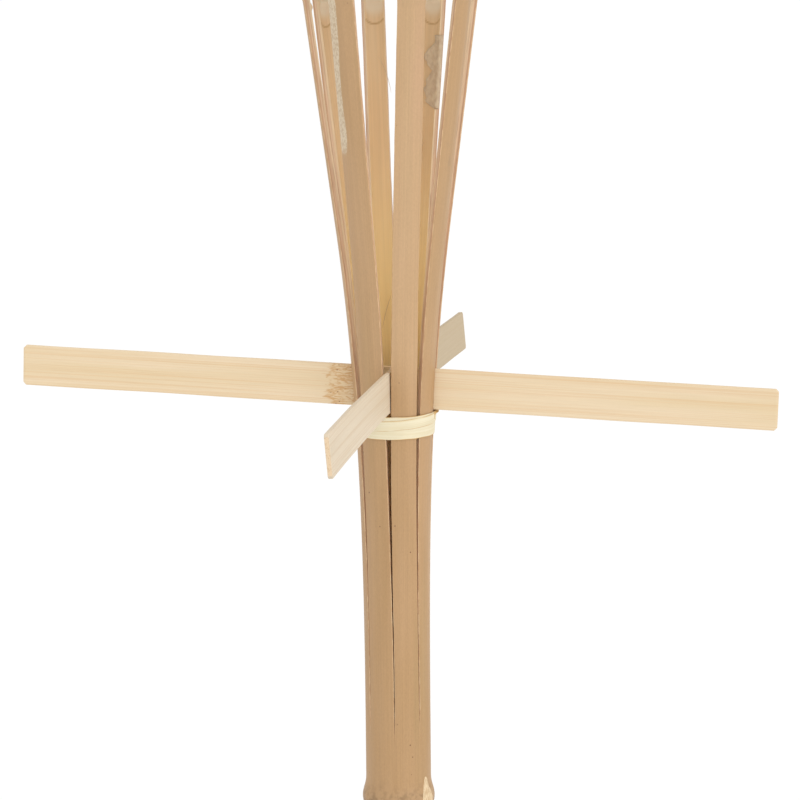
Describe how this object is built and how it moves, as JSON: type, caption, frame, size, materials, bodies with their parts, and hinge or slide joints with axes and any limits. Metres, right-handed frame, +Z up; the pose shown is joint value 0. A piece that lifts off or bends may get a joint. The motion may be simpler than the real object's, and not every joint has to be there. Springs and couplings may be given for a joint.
{
  "type": "tiki torch",
  "caption": "Bamboo garden torch: a split culm held open by crossed slats, bound with bast, with a woven basket for a wick-burning fuel canister.",
  "frame": {"origin": "on the pole's axis at the ground line, where the soil's surface meets the pole", "axes": "+Z up the pole, +X along the left-right slat towards its right end, -Y towards the front end of the front-back slat"},
  "size_m": [0.4004, 0.4002, 1.2562],
  "materials": {
    "bamboo": "tan bamboo skin, satin, with fine lengthwise grain",
    "split_bamboo": "planed pale split bamboo, matt",
    "weaver_bamboo": "split bamboo weaver, satin skin",
    "bast": "pale yellow bast strip, matt",
    "tinplate": "tinplate, satin",
    "snuffer_tin": "tinplate, satin",
    "brass": "turned brass, satin",
    "rubber": "black nitrile rubber, matt",
    "glass_fibre": "braided glass fibre, matt"
  },
  "bodies": {
    "torch_frame": {"pole": "bamboo", "strip_1": "bamboo", "strip_2": "bamboo", "strip_3": "bamboo", "strip_4": "bamboo", "strip_5": "bamboo", "strip_6": "bamboo", "strip_7": "bamboo", "strip_8": "bamboo", "cross_slat_left_right": "split_bamboo", "cross_slat_front_back": "split_bamboo", "bast_tie": "bast", "weaver_row_1": "weaver_bamboo", "weaver_row_2": "weaver_bamboo", "weaver_row_3": "weaver_bamboo", "weaver_row_4": "weaver_bamboo", "weaver_row_5": "weaver_bamboo", "weaver_row_6": "weaver_bamboo", "weaver_row_7": "weaver_bamboo"},
    "canister": {"canister_wall": "tinplate", "canister_bottom": "tinplate", "canister_lid": "tinplate", "filler_neck": "brass"},
    "cap_seal": {"cap_gasket": "rubber"},
    "burner": {"burner_cap": "brass", "wick_tube": "brass"},
    "wick_rope": {"wick": "glass_fibre"},
    "snuffer_cap": {"snuffer": "snuffer_tin"}
  },
  "joints": [
    {"name": "canister_lift", "type": "slide", "parent": "torch_frame", "child": "canister", "axis": [0, 0, 1], "range_m": [0, 0.12]},
    {"name": "burner_rise", "type": "slide", "parent": "canister", "child": "cap_seal", "axis": [0, 0, 1], "range_m": [0, 0.0045]},
    {"name": "burner_screw", "type": "hinge", "parent": "cap_seal", "child": "burner", "pos_m": [0, 0, 1.0076], "axis": [0, 0, 1], "range_deg": [0, 540]},
    {"name": "wick_feed", "type": "slide", "parent": "burner", "child": "wick_rope", "axis": [0, 0, 1], "range_m": [-0.01, 0.006]},
    {"name": "snuffer_lift", "type": "slide", "parent": "burner", "child": "snuffer_cap", "axis": [0, 0, 1], "range_m": [0, 0.045]}
  ],
  "couplings": [
    {"joint": "burner_rise", "follows": "burner_screw", "m_per_rad": 0.00047746}
  ]
}
